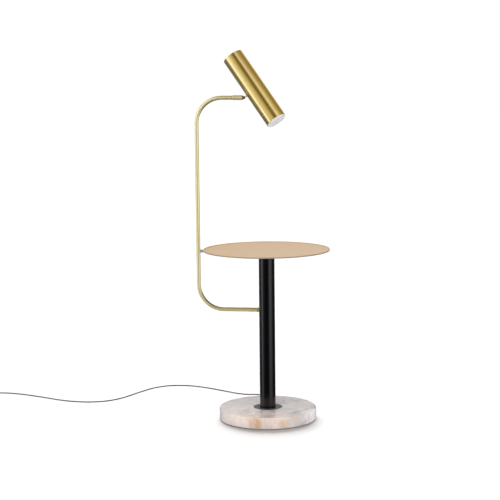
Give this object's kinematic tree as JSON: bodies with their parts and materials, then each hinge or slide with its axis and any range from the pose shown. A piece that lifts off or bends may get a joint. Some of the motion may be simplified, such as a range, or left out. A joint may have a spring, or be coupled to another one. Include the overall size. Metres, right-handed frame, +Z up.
{
  "type": "floor lamp with table",
  "caption": "Reading floor lamp on a round stone foot: a black post carries a round tray table, and a C-shaped arm holds a cylinder head that tilts and swivels.",
  "frame": {"origin": "centre of the underside of the foot's pad, on the floor", "axes": "+Z up along the post, -X from the post towards the arm's upright, +Y to the side where the mains cord leaves the foot"},
  "size_m": [1.5395, 0.7772, 1.4639],
  "materials": {
    "anti_slip_pad": "matte",
    "marble": "polished, grey veins",
    "flange_steel": "satin",
    "black_paint": "satin",
    "tray_paint": "satin",
    "link_paint": "satin",
    "arm_brass": "satin",
    "head_brass": "brushed",
    "knuckle_brass": "satin",
    "steel": "zinc plated",
    "aluminium": "plain",
    "reflector_foil": "polished",
    "opal": "opal, satin",
    "driver_case": "moulded",
    "chip": "matte",
    "cord_sheath": "matte",
    "lead_sheath": "satin",
    "black_plastic": "satin",
    "pin_metal": "nickel plated"
  },
  "bodies": {
    "stand": {"base_pad": "anti_slip_pad", "marble_base": "marble", "clamp_plate": "steel", "lock_washer": "steel", "base_bolt": "steel", "base_flange": "flange_steel", "foot_plug": "steel", "post_tube": "black_paint", "led_driver": "driver_case", "arm_socket": "steel", "arm_grub_screw": "steel", "post_cap_flange": "black_paint", "tray_boss_plate": "tray_paint", "tray_screws": "steel", "tray": "tray_paint", "tray_link": "link_paint", "tray_link_screws": "steel", "arm_tube": "arm_brass", "arm_collar": "arm_brass", "arm_end_spigot": "steel", "mains_lead": "cord_sheath", "arm_lead": "lead_sheath", "cord_relief": "black_plastic", "power_cord": "cord_sheath", "switch_lead": "cord_sheath", "cord_coil": "cord_sheath", "coil_tie": "black_plastic", "switch_base": "black_plastic", "switch_cover": "black_plastic", "switch_screws": "steel", "plug_body": "black_plastic", "plug_pins": "pin_metal"},
    "knuckle": {"knuckle_sleeve": "knuckle_brass", "swivel_stop_screw": "steel", "tilt_pin": "steel"},
    "head": {"head_stem": "knuckle_brass", "head_shell": "head_brass", "stem_saddle": "steel", "stem_nut": "steel", "head_cap": "head_brass", "heat_sink": "aluminium", "led_board": "aluminium", "led_chip": "chip", "led_board_screws": "steel", "reflector": "reflector_foil", "diffuser": "opal", "head_lead": "lead_sheath"},
    "rocker": {"switch_rocker": "black_plastic"}
  },
  "joints": [
    {"name": "head_swivel", "type": "hinge", "parent": "stand", "child": "knuckle", "pos_m": [-0.084, 0, 1.279], "axis": [1, 0, 0], "range_deg": [-138, 169]},
    {"name": "head_tilt", "type": "hinge", "parent": "knuckle", "child": "head", "pos_m": [-0.084, 0, 1.279], "axis": [0, -0.9646, 0.2639], "range_deg": [-105, 35]},
    {"name": "rocker_tilt", "type": "hinge", "parent": "stand", "child": "rocker", "pos_m": [-1.276, 0.19, 0.015], "axis": [1, 0, 0], "range_deg": [0, 16]}
  ]
}
